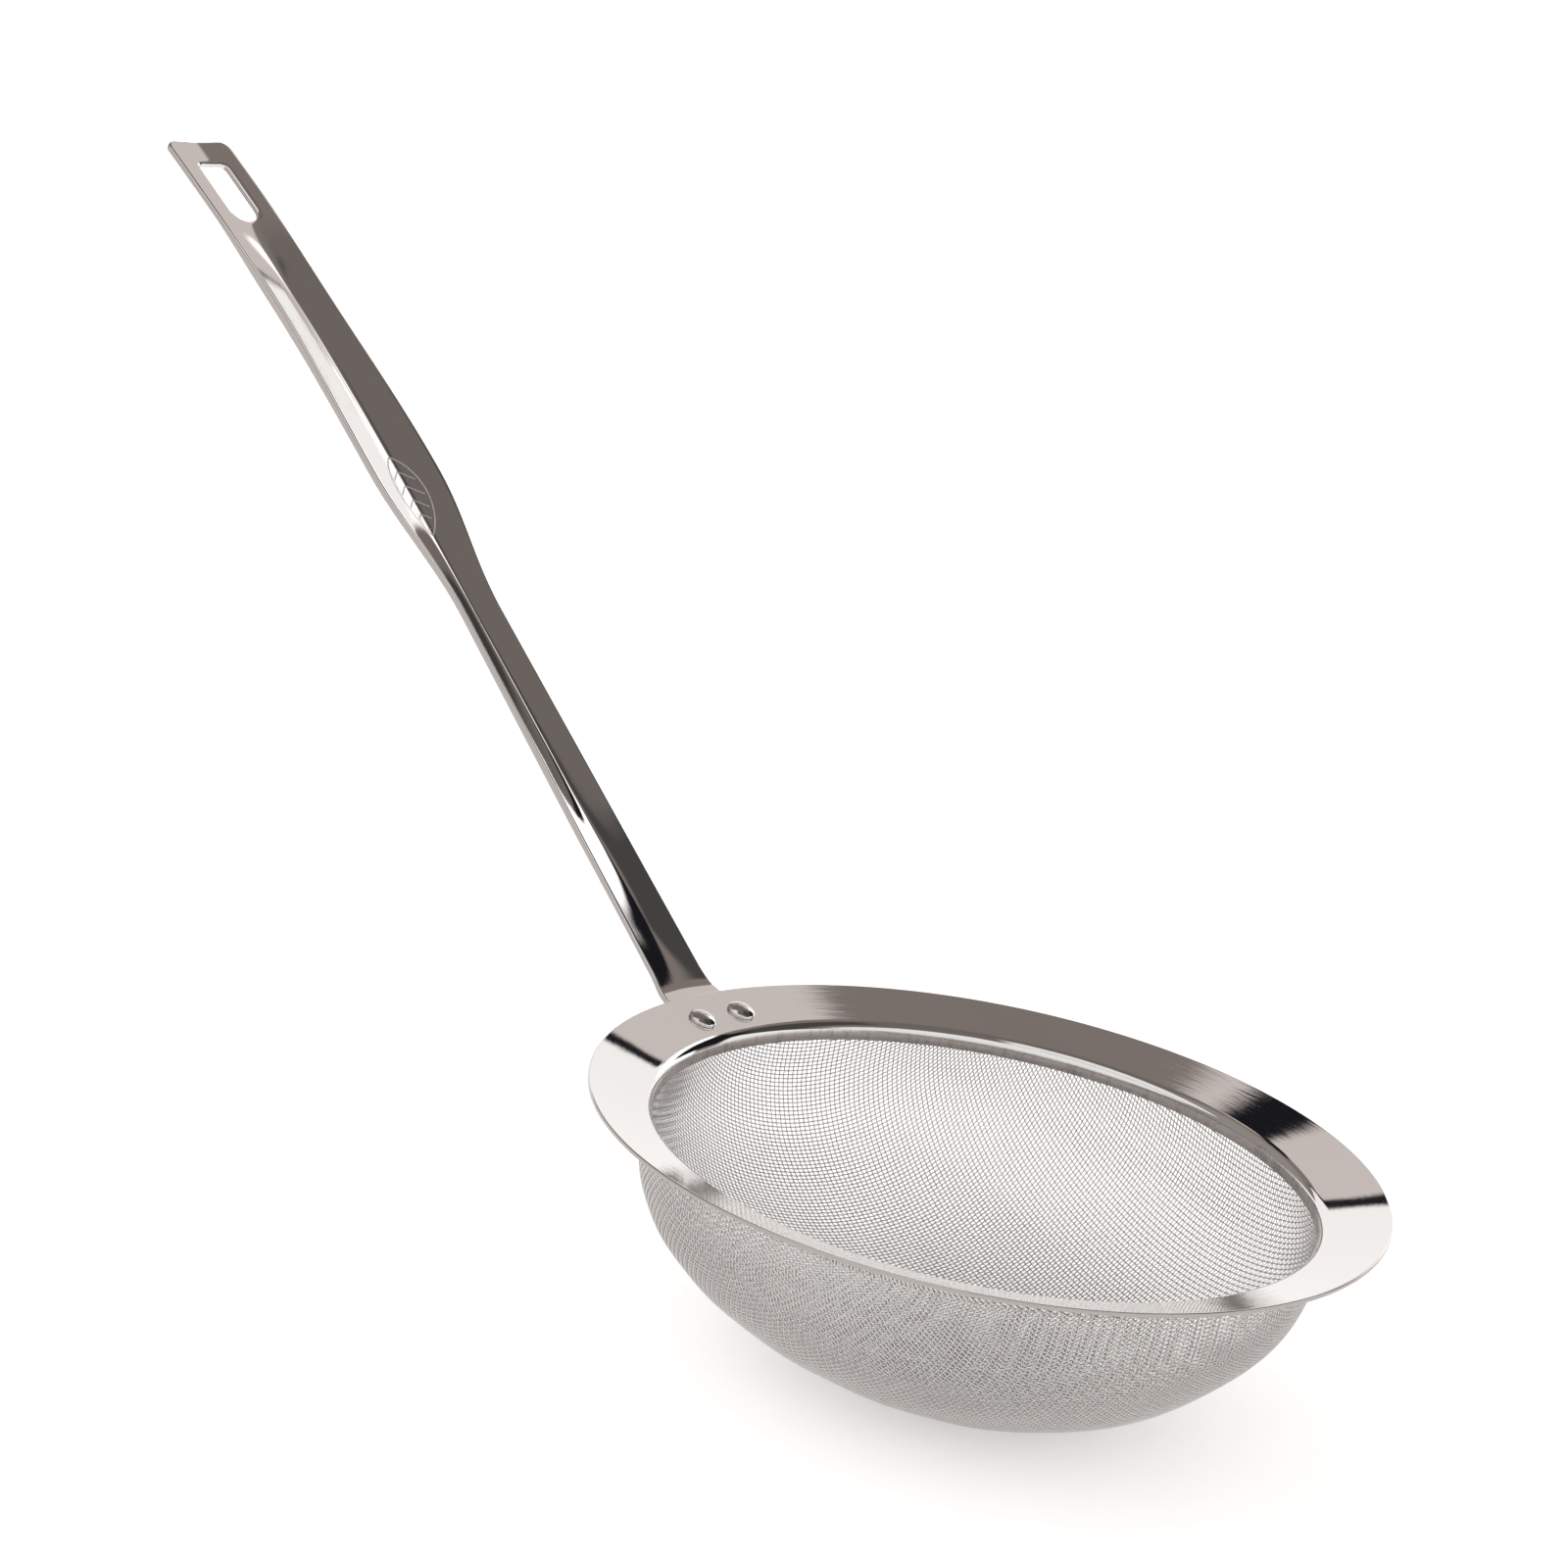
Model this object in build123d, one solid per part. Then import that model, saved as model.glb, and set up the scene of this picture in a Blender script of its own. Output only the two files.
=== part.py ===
from build123d import *
from math import asin, cos, pi, radians, sin, tan
import os

# Tea strainer. Millimetres, +Z up. The origin is on the rim's axis, level with the inner end of the
# flange. The handle points along -X.

# rim: one spun sheet
RIM_R = 60.0            # outer radius of the flange
RIM_TOP = 2.48          # height of the flange's outer top edge
FLANGE_RISE = radians(16.5)
RIM_SHEET = 0.7
COLLAR_R = 49.7         # inner radius of the collar
LIP_R = 2.2             # visible radius between flange and collar
COLLAR_BOTTOM = -2.95
EDGE_ROUND = 0.22

# wire cloth bowl, modelled as a thin closed skin
CLOTH = 0.4             # two wire diameters
CLOTH_GAP = 0.02
FLARE = radians(40.0)   # how far the cut edge follows the underside of the lip
BOWL_TOP = -7.2         # where the upright wall starts to curve in
BOWL_DEPTH = 28.2
BOWL_SHIFT = 7.3        # the bowl's lowest point lies this far from the axis, away from the handle
FLAT_R = 7.5
RINGS = 26

# handle: one pressed strip
STRIP = 0.7
TAB_IN = 52.5           # inner end of the tab, distance from the axis
BEND_AT = 62.26
BEND_R = 8.0
HANDLE_RISE = radians(38.5)
BOW_AT = 130.0          # the upper half bows gently outward from here
BOW_R = 560.0
HANDLE_END = 202.8
TAB_W = 15.0            # under the flange
THROAT_W = 12.3
ROOT_W = 10.8
WAIST_W = 8.6
GRIP_W = 15.0
NECK_W = 12.8
TIP_W = 13.8
TROUGH = 1.8
SLOT_W = 6.1
SLOT_L = 13.6
SLOT_FROM_TIP = 5.3

# rivets
RIVET_R = 54.6          # distance of the rivets from the rim's axis
RIVET_PITCH = 8.9
SHANK_R = 1.5
HEAD_R = 2.2
HEAD_EDGE = 0.45
HEAD_H = 1.15
TAIL_R = 2.1
TAIL_H = 0.7

LIP_X = COLLAR_R + LIP_R
LIP_Z = RIM_TOP - (RIM_R - LIP_X) * tan(FLANGE_RISE) - LIP_R / cos(FLANGE_RISE)


def flange_top(r):
    return RIM_TOP - (RIM_R - r) * tan(FLANGE_RISE)


def around_lip(radius, angle):
    """Point on a circle about the lip's centre; angle 0 faces the axis, 90 degrees faces up."""
    return (LIP_X - radius * cos(angle), LIP_Z + radius * sin(angle))


def arc_edge(radius, a, b):
    pts = [around_lip(radius, k) for k in (a, (a + b) / 2, b)]
    return ThreePointArc(*[(x, 0, z) for x, z in pts])


def section(edges):
    return make_face(Wire(edges))


def seg(p, q):
    return Line((p[0], 0, p[1]), (q[0], 0, q[1]))


def rim_flange():
    lean = pi / 2 - FLANGE_RISE
    inner = LIP_R - RIM_SHEET
    bottom = flange_top(RIM_R) - RIM_SHEET / cos(FLANGE_RISE)
    profile = section([
        seg((COLLAR_R, COLLAR_BOTTOM), (COLLAR_R, LIP_Z)),
        arc_edge(LIP_R, 0, lean),
        seg(around_lip(LIP_R, lean), (RIM_R, RIM_TOP)),
        seg((RIM_R, RIM_TOP), (RIM_R, bottom)),
        seg((RIM_R, bottom), around_lip(inner, lean)),
        arc_edge(inner, lean, 0),
        seg(around_lip(inner, 0), (COLLAR_R + RIM_SHEET, COLLAR_BOTTOM)),
        seg((COLLAR_R + RIM_SHEET, COLLAR_BOTTOM), (COLLAR_R, COLLAR_BOTTOM)),
    ])
    rim = revolve(profile, Axis.Z)
    outer = rim.edges().filter_by(GeomType.CIRCLE).filter_by(lambda e: abs(e.radius - RIM_R) < 0.01)
    rim = fillet(outer, EDGE_ROUND)
    for hole in rivet_cylinders(SHANK_R + 0.01):
        rim -= hole
    return rim


def bowl_body(skin):
    """Solid bowl below the upright wall; skin is the distance inside the outer surface."""
    wide = COLLAR_R + RIM_SHEET + CLOTH_GAP + CLOTH
    last = 1 - (FLAT_R / wide) ** 2 / 2
    rings = []
    for k in range(RINGS + 1):
        t = last * sin(pi / 2 * k / RINGS)
        r = wide * (1 - t ** 1.83) ** (1 / 2.085) - skin
        origin = (BOWL_SHIFT * t ** 4, 0, BOWL_TOP - (BOWL_DEPTH - skin) * t)
        rings.append(Wire.make_circle(r, Plane(origin=origin, z_dir=(0, 0, 1))))
    return Solid.make_loft(rings, True)


def mesh_bowl():
    near = LIP_R - RIM_SHEET - CLOTH_GAP
    far = near - CLOTH
    wall = section([
        arc_edge(near, FLARE, 0),
        seg(around_lip(near, 0), (LIP_X - near, BOWL_TOP)),
        seg((LIP_X - near, BOWL_TOP), (LIP_X - far, BOWL_TOP)),
        seg((LIP_X - far, BOWL_TOP), around_lip(far, 0)),
        arc_edge(far, 0, FLARE),
        seg(around_lip(far, FLARE), around_lip(near, FLARE)),
    ])
    return revolve(wall, Axis.Z) + (bowl_body(0) - bowl_body(CLOTH))


def spine(rho):
    """Height and slope of the handle's shoulders at a distance rho from the rim's axis."""
    tab_z = flange_top(RIM_R) - RIM_SHEET / cos(FLANGE_RISE) - 0.01
    half = BEND_R * tan((HANDLE_RISE - FLANGE_RISE) / 2)
    start = BEND_AT - half * cos(FLANGE_RISE)
    stop = BEND_AT + half * cos(HANDLE_RISE)
    bend_z = tab_z + (BEND_AT - RIM_R) * tan(FLANGE_RISE)
    if rho <= start:
        return tab_z + (rho - RIM_R) * tan(FLANGE_RISE), FLANGE_RISE
    if rho < stop:
        a = asin((rho - start) / BEND_R + sin(FLANGE_RISE))
        z = tab_z + (start - RIM_R) * tan(FLANGE_RISE)
        return z + BEND_R * (cos(FLANGE_RISE) - cos(a)), a
    if rho <= BOW_AT:
        return bend_z + (rho - BEND_AT) * tan(HANDLE_RISE), HANDLE_RISE
    a = asin(sin(HANDLE_RISE) - (rho - BOW_AT) / BOW_R)
    z = bend_z + (BOW_AT - BEND_AT) * tan(HANDLE_RISE)
    return z + BOW_R * (cos(a) - cos(HANDLE_RISE)), a


def ease(rho, keys):
    """Smooth value through (rho, value) keys."""
    for (a, u), (b, v) in zip(keys, keys[1:]):
        if rho <= b:
            k = max(0.0, (rho - a) / (b - a))
            return u + (v - u) * (1 - cos(pi * k)) / 2
    return keys[-1][1]


def width(rho):
    corner = 1.6
    w = ease(rho, [(56.8, TAB_W), (60.2, THROAT_W), (65.5, ROOT_W), (119.0, WAIST_W),
                   (141.0, GRIP_W), (172.0, NECK_W), (194.0, TIP_W)])
    if 65.5 < rho < 119.0:
        w = ROOT_W + (WAIST_W - ROOT_W) * (rho - 65.5) / (119.0 - 65.5)
    for end in (TAB_IN, HANDLE_END):
        near = corner - abs(rho - end)
        if near > 0:
            w -= 2 * (corner - (corner ** 2 - near ** 2) ** 0.5)
    return w


def trough(rho):
    return ease(rho, [(67.0, 0.0), (96.0, 0.85 * TROUGH), (140.0, 1.1 * TROUGH), (172.0, 0.9 * TROUGH),
                      (189.0, 0.3), (200.0, 0.2)])


def edge_depth(rho):
    return ease(rho, [(66.0, 0.82), (92.0, 1.1), (144.0, 1.15), (172.0, 1.6), (190.0, 0.82)])


def strip_section(rho):
    """Closed outline across the handle: shallow V on top, edges turned down."""
    z, a = spine(rho)
    half = width(rho) / 2
    v = trough(rho)
    deep = edge_depth(rho)
    r = 0.25
    inner = half - STRIP
    right = [(half - r, 0), (half, -r), (half, -deep), (inner, -deep), (inner, -STRIP - 0.05)]
    left = [(-w, n) for w, n in reversed(right)]
    outline = [(0, -v)] + right + [(0, -v - STRIP)] + left
    pts = [Vector(-rho + n * sin(a), w, z + n * cos(a)) for w, n in outline]
    return Wire.make_polygon(pts, close=True)


def slot_cutter():
    rho = HANDLE_END - (SLOT_FROM_TIP + SLOT_L / 2) * cos(spine(HANDLE_END)[1])
    z, a = spine(rho)
    plane = Plane(origin=(-rho, 0, z), x_dir=(-cos(a), 0, sin(a)), z_dir=(sin(a), 0, cos(a)))
    square = SLOT_L - SLOT_W / 2
    outline = Pos((SLOT_L - square) / 2, 0) * Rectangle(square, SLOT_W)
    outline = fillet(outline.vertices().group_by(Axis.X)[-1], 1.0)
    outline += Pos(SLOT_W / 2 - SLOT_L / 2, 0) * Circle(SLOT_W / 2)
    return extrude(plane * outline, 5, both=True)


def handle():
    stops = [TAB_IN, TAB_IN + 0.5, TAB_IN + 1.6, 56.8, 58.5, 60.2, 61.2, 62.4, 63.5, 65.5, 70, 78, 92, 106, 119, 124,
             130, 136, 141, 150, 161, 172, 181, 189, 196, HANDLE_END - 1.6, HANDLE_END - 0.5, HANDLE_END]
    body = Solid.make_loft([strip_section(rho) for rho in stops], ruled=True)
    body -= slot_cutter()
    for hole in rivet_cylinders(SHANK_R + 0.01):
        body -= hole
    return body


def rivet_plane(side):
    """Plane on the flange's top at a rivet, with its normal square to the flange."""
    turn = side * asin(RIVET_PITCH / 2 / RIVET_R)
    x, y = -cos(turn), sin(turn)
    normal = (-x * sin(FLANGE_RISE), -y * sin(FLANGE_RISE), cos(FLANGE_RISE))
    return Plane(origin=(x * RIVET_R, y * RIVET_R, flange_top(RIVET_R)), x_dir=(-y, x, 0), z_dir=normal)


def rivet_cylinders(radius):
    return [rivet_plane(s) * Cylinder(radius, 8) for s in (-1, 1)]


def rivet(side):
    grip = RIM_SHEET + STRIP + 0.2
    top = 0.03
    outline = [(0, -grip - TAIL_H), (TAIL_R - 0.3, -grip - TAIL_H), (TAIL_R, -grip - 0.35),
               (TAIL_R, -grip), (SHANK_R, -grip), (SHANK_R, top), (HEAD_R, top), (HEAD_R, HEAD_EDGE)]
    rise = HEAD_H - HEAD_EDGE
    dome_r = (HEAD_R ** 2 + rise ** 2) / (2 * rise)
    lean = asin(HEAD_R / dome_r) / 2
    crown = (dome_r * sin(lean), HEAD_H - dome_r * (1 - cos(lean)))
    edges = [seg(p, q) for p, q in zip(outline, outline[1:])]
    edges.append(ThreePointArc(*[(x, 0, z) for x, z in (outline[-1], crown, (0, HEAD_H))]))
    edges.append(seg((0, HEAD_H), outline[0]))
    return rivet_plane(side) * revolve(section(edges), Axis.Z)


def rivets():
    return Compound(children=[rivet(-1), rivet(1)])


os.makedirs("parts", exist_ok=True)
export_step(rim_flange(), "parts/rim_flange.step")
export_step(mesh_bowl(), "parts/mesh_bowl.step")
export_step(handle(), "parts/handle.step")
export_step(rivets(), "parts/rivets.step")
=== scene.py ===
from math import asin, cos, pi, radians, sin, sqrt, tan

import bmesh
import bpy
import numpy as np
from mathutils import Matrix, Vector


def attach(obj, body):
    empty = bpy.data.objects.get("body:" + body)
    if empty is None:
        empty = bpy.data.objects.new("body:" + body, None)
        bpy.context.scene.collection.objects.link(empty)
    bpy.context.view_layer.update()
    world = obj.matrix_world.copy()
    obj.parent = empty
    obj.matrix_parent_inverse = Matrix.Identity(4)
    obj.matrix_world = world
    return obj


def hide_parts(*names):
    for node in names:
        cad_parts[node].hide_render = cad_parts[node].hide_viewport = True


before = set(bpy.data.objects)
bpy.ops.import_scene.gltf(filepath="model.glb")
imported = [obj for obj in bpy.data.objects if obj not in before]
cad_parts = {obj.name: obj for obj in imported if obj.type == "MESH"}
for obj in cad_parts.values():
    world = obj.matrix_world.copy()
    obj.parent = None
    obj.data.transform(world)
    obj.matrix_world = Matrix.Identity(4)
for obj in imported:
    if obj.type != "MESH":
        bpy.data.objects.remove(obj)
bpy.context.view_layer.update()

MM = 0.001  # lengths below are in millimetres, angles in radians

# rim
RIM_R = 60.0
RIM_TOP = 2.48
FLANGE_RISE = radians(16.5)
SHEET = 0.7
COLLAR_R = 49.7
LIP_R = 2.2
COLLAR_BOTTOM = -2.95
EDGE_ROUND = 0.22
FOOT_ROUND = 0.15
RIM_SEGMENTS = 600
LIP_STEPS = 22
LIP_UNDER_STEPS = 14
FLANGE_STEPS = 14
FLANGE_UNDER_STEPS = 8
LIP_X = COLLAR_R + LIP_R
LIP_Z = RIM_TOP - (RIM_R - LIP_X) * tan(FLANGE_RISE) - LIP_R / cos(FLANGE_RISE)

# wire cloth bowl
CLOTH_GAP = 0.22
CLOTH_R = COLLAR_R + SHEET + CLOTH_GAP
CLOTH_BEND = LIP_R - SHEET - CLOTH_GAP
CLOTH_FLARE = radians(38.0)
BOWL_TOP = -7.2
BOWL_DEPTH = 27.75
BOWL_SHIFT = 7.3
BOWL_A = 1.83
BOWL_B = 2.085
PITCH_U = 0.64
PITCH_V = 0.87
WIRE_R = 0.1
CRIMP = 0.1
WIRE_SIDES = 6
WEAVE_TURN = radians(-16.0)
ARM_CROSSINGS = 134
MERIDIAN_POINTS = 6000
WALL_H = 12
WALL_POINTS = 200
CLOTH_PARTS = 4
NEWTON_STEPS = 12
LONGEST_STEP = 0.3
LARGEST_MISS = 0.02
SHORTEST_TAIL = 0.15
RIPPLE_FADE = 6.0

# handle
TAB_IN = 52.5
TAB_GAP = 0.01
BEND_AT = 62.26
BEND_R = 8.0
HANDLE_RISE = radians(38.5)
ROOT_AT = 65.5
WAIST_AT = 119.0
BOW_AT = 130.0
BOW_R = 560.0
HANDLE_END = 202.8
TAB_W = 15.0
THROAT_W = 12.3
ROOT_W = 10.8
WAIST_W = 8.6
GRIP_W = 15.0
NECK_W = 12.8
TIP_W = 13.8
TROUGH = 1.8
CREASE_R = 0.4
SHOULDER_R = 0.32
CUT_ROUND = 0.12
CORNER_R = 1.6
SLOT_W = 6.1
SLOT_L = 13.6
SLOT_FROM_TIP = 5.3
SLOT_CORNER = 1.0
SLOT_ROLL = 0.16
SLOT_ROLL_W = 0.8
STEP = 0.55
SLOT_STEP, SLOT_FROM = 0.22, 182.0
THROAT_STEP, THROAT_FROM, THROAT_TO = 0.2, 56.0, 67.0
CORNER_STEP = 0.12
NEAR_STEPS = 12
OUTER_STEPS = 9
ARC_STEPS = 5
SIDE_STOPS = (0.1, 0.5, 1.0)
END_POINTS = ARC_STEPS + len(SIDE_STOPS)

# rivets
RIVET_R = 54.6
RIVET_PITCH = 8.9
SHANK_R = 1.5
HEAD_R = 2.2
HEAD_EDGE = 0.45
HEAD_H = 1.15
TAIL_R = 2.1
TAIL_H = 0.7
GRIP_PLAY = 0.2
RIVET_SEGMENTS = 72
CROWN_STEPS = 12
CROWN_FROM = 0.94

# camera, fitted to the rim's circles in the photograph
CAMERA_AT = (323.55, -462.21, 213.38)
CAMERA_RIGHT = (0.73213, 0.65828, 0.17508)
CAMERA_FORWARD = (-0.60437, 0.74633, -0.27880)
LENS = 93.47
SENSOR = 36.0

FLOOR_HALF = 30000
FLOOR_GAP = 0.02


# ---------------------------------------------------------------- meshes

def new_object(name, verts, faces, smooth=True):
    """Puts a mesh, given in millimetres, into the scene."""
    mesh = bpy.data.meshes.new(name)
    mesh.from_pydata((np.asarray(verts) * MM).tolist(), [], faces)
    mesh.polygons.foreach_set("use_smooth", [smooth] * len(mesh.polygons))
    mesh.validate()
    obj = bpy.data.objects.new(name, mesh)
    bpy.context.scene.collection.objects.link(obj)
    return obj


def arc_points(cx, cz, radius, a, b, n):
    """Points on a circle in the (r, z) plane; angle 0 faces the axis, 90 degrees faces up."""
    angles = [a + (b - a) * k / n for k in range(n + 1)]
    return [(cx - radius * cos(t), cz + radius * sin(t)) for t in angles]


def straight(p, q, n, lead=0.04):
    """Points strictly between p and q, with one close to each end to keep the shading flat."""
    length = sqrt((q[0] - p[0]) ** 2 + (q[1] - p[1]) ** 2)
    stops = [lead / length] + [k / n for k in range(1, n)] + [1 - lead / length]
    return [(p[0] + (q[0] - p[0]) * s, p[1] + (q[1] - p[1]) * s) for s in stops]


def rounded(prev, corner, after, radius, n=4):
    """Arc that rounds the corner of an outline."""
    p, c, q = Vector(prev), Vector(corner), Vector(after)
    u, v = (p - c).normalized(), (q - c).normalized()
    half = u.angle(v) / 2
    reach = radius / tan(half)
    centre = c + (u + v).normalized() * radius / sin(half)
    a, b = c + u * reach - centre, c + v * reach - centre
    out = []
    for k in range(n + 1):
        d = a.slerp(b, k / n).normalized() * radius
        out.append(tuple(centre + d))
    return out


def lathe(profile, segments):
    """Closed ring swept round the axis from a closed (r, z) outline."""
    n = len(profile)
    pts = np.array(profile)
    turn = np.arange(segments) * 2 * pi / segments
    verts = np.stack([np.outer(np.cos(turn), pts[:, 0]), np.outer(np.sin(turn), pts[:, 0]),
                      np.tile(pts[:, 1], (segments, 1))], -1).reshape(-1, 3)
    faces = []
    for s in range(segments):
        t = (s + 1) % segments
        for k in range(n):
            m = (k + 1) % n
            faces.append((s * n + k, s * n + m, t * n + m, t * n + k))
    return verts, faces


def build_rim():
    """Collar, rolled lip and sloping flange of one sheet."""
    lean = pi / 2 - FLANGE_RISE
    inner = LIP_R - SHEET
    low = RIM_TOP - SHEET / cos(FLANGE_RISE)
    foot_in, foot_out = (COLLAR_R, COLLAR_BOTTOM), (COLLAR_R + SHEET, COLLAR_BOTTOM)
    top, under = (RIM_R, RIM_TOP), (RIM_R, low)
    outer_arc = arc_points(LIP_X, LIP_Z, LIP_R, 0, lean, LIP_STEPS)
    inner_arc = arc_points(LIP_X, LIP_Z, inner, lean, 0, LIP_UNDER_STEPS)
    edge_a = rounded(outer_arc[-1], top, under, EDGE_ROUND)
    edge_b = rounded(top, under, inner_arc[0], EDGE_ROUND)
    foot_a = rounded(inner_arc[-1], foot_out, foot_in, FOOT_ROUND)
    foot_b = rounded(foot_out, foot_in, outer_arc[0], FOOT_ROUND)
    outline = outer_arc + straight(outer_arc[-1], edge_a[0], FLANGE_STEPS) + edge_a + edge_b
    outline += straight(edge_b[-1], inner_arc[0], FLANGE_UNDER_STEPS) + inner_arc + foot_a + foot_b
    verts, faces = lathe(outline, RIM_SEGMENTS)
    faces = [f[::-1] for f in faces]
    return new_object("rim", verts, faces)


# ---------------------------------------------------------------- wire cloth

def bowl_gradient(p):
    """Value and gradient of the function that is zero on the cloth's middle surface."""
    t = np.clip((BOWL_TOP - p[:, 2]) / BOWL_DEPTH, 0, None)
    dx = p[:, 0] - BOWL_SHIFT * t ** 4
    rho = np.maximum(np.hypot(dx, p[:, 1]), 1e-6)
    value = (rho / CLOTH_R) ** BOWL_B + t ** BOWL_A - 1
    slope = BOWL_B / CLOTH_R * (rho / CLOTH_R) ** (BOWL_B - 1)
    along_t = BOWL_A * t ** (BOWL_A - 1) - slope * dx / rho * 4 * BOWL_SHIFT * t ** 3
    grad = np.stack([slope * dx / rho, slope * p[:, 1] / rho, -along_t / BOWL_DEPTH], -1)
    return value, grad


def meridian(turn, count, pitch):
    """Points a wire's pitch apart from the bowl's lowest point up to its wall."""
    t = 1 - np.linspace(0, 1, MERIDIAN_POINTS) ** 2
    r = CLOTH_R * np.maximum(1 - t ** BOWL_A, 0) ** (1 / BOWL_B)
    line = np.stack([BOWL_SHIFT * t ** 4 + r * cos(turn), r * sin(turn),
                     BOWL_TOP - BOWL_DEPTH * t], -1)
    top = line[-1] + np.outer(np.linspace(0.01, WALL_H, WALL_POINTS), (0, 0, 1))
    line = np.concatenate([line, top])
    run = np.concatenate([[0], np.cumsum(np.linalg.norm(np.diff(line, axis=0), axis=1))])
    want = np.arange(count) * pitch
    return np.stack([np.interp(want, run, line[:, k]) for k in range(3)], -1)


def weave_net(limit_z):
    """Crossing points of the two wire families: the sides of every mesh keep their length, as in
    flat cloth drawn over a form. Returns an array over (i, j) with NaN above the cut edge."""
    count = ARM_CROSSINGS
    size = 2 * count - 1
    net = np.full((size, size, 3), np.nan)
    mid = count - 1
    arms = {}
    for name, turn in (("u+", 0), ("v+", pi / 2), ("u-", pi), ("v-", 3 * pi / 2)):
        arms[name] = meridian(WEAVE_TURN + turn, count, PITCH_U if name[0] == "u" else PITCH_V)
    for su, sv in ((1, 1), (1, -1), (-1, 1), (-1, -1)):
        quad = np.full((count, count, 3), np.nan)
        quad[:, 0] = arms["u+" if su > 0 else "u-"]
        quad[0, :] = arms["v+" if sv > 0 else "v-"]
        quad[quad[:, :, 2] > limit_z + PITCH_V] = np.nan
        for total in range(2, 2 * count - 1):
            i = np.arange(max(1, total - count + 1), min(count, total))
            j = total - i
            a, b, c = quad[i - 1, j], quad[i, j - 1], quad[i - 1, j - 1]
            ok = ~np.isnan(a[:, 0] + b[:, 0] + c[:, 0])
            ok[ok] &= (a[ok, 2] <= limit_z) | (b[ok, 2] <= limit_z)
            if not ok.any():
                continue
            i, j, a, b, c = i[ok], j[ok], a[ok], b[ok], c[ok]
            p = a + b - c
            for _ in range(NEWTON_STEPS):
                value, grad = bowl_gradient(p)
                rows = np.stack([2 * (p - a), 2 * (p - b), grad], 1)
                miss = np.stack([((p - a) ** 2).sum(1) - PITCH_U ** 2,
                                 ((p - b) ** 2).sum(1) - PITCH_V ** 2, value], 1)
                step = np.linalg.solve(rows + 1e-9 * np.eye(3), miss[:, :, None])[:, :, 0]
                length = np.linalg.norm(step, axis=1, keepdims=True)
                p = p - step * np.minimum(1, LONGEST_STEP / np.maximum(length, 1e-9))
            bad = np.abs(((p - a) ** 2).sum(1) - PITCH_U ** 2) > LARGEST_MISS
            bad |= p[:, 2] > limit_z + PITCH_V
            bad |= np.linalg.norm(p - c, axis=1) < 0.25 * PITCH_U
            p[bad] = np.nan
            quad[i, j] = p
        xs = mid + su * np.arange(count)
        ys = mid + sv * np.arange(count)
        net[np.ix_(xs, ys)] = quad
    return net


def cloth_surface(p):
    """Bends the straight wall's top round the underside of the lip, and returns outward normals."""
    normal = bowl_gradient(p)[1]
    normal = normal / np.linalg.norm(normal, axis=1, keepdims=True)
    out = p.copy()
    over = p[:, 2] > LIP_Z
    angle = (p[over, 2] - LIP_Z) / CLOTH_BEND
    side = p[over, :2] / np.linalg.norm(p[over, :2], axis=1, keepdims=True)
    out[over, :2] = side * (LIP_X - CLOTH_BEND * np.cos(angle))[:, None]
    out[over, 2] = LIP_Z + CLOTH_BEND * np.sin(angle)
    normal[over, :2] = side * np.cos(angle)[:, None]
    normal[over, 2] = -np.sin(angle)
    return out, normal


def ripple(p):
    """Slight unevenness of hand-drawn cloth, fading out at the collar."""
    fade = np.clip((BOWL_TOP - p[:, 2]) / RIPPLE_FADE, 0, 1)
    turn = np.arctan2(p[:, 1], p[:, 0])
    return fade * (0.06 * np.sin(5 * turn + 0.4 * p[:, 2])
                   + 0.05 * np.sin(11 * turn - 0.7 * p[:, 2] + 1))


def wire_runs(net, family, limit_z):
    """Centre line of every wire of one family as (points, over-or-under signs)."""
    grid = net if family == 0 else net.transpose(1, 0, 2)
    runs = []
    for j in range(grid.shape[1]):
        line = grid[:, j]
        inside = np.nan_to_num(line[:, 2], nan=1e9) <= limit_z
        edges = np.flatnonzero(np.diff(np.concatenate([[0], inside.astype(int), [0]])))
        for a, b in edges.reshape(-1, 2):
            if b - a < 3:
                continue
            pts = line[a:b]
            sign = np.where((np.arange(a, b) + j + family) % 2 == 0, 1.0, -1.0)
            ends = []
            for here, there in ((a, a - 1), (b - 1, b)):
                tail = None
                if 0 <= there < len(line) and not np.isnan(line[there, 0]):
                    rise = line[there, 2] - line[here, 2]
                    share = (limit_z - line[here, 2]) / rise if rise > 0.01 else 0
                    if share > SHORTEST_TAIL:
                        tail = line[here] + (line[there] - line[here]) * min(share, 1)
                ends.append(tail)
            if ends[0] is not None:
                pts = np.concatenate([[ends[0]], pts])
                sign = np.concatenate([[0], sign])
            if ends[1] is not None:
                pts = np.concatenate([pts, [ends[1]]])
                sign = np.concatenate([sign, [0]])
            runs.append((pts, sign))
    return runs


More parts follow.
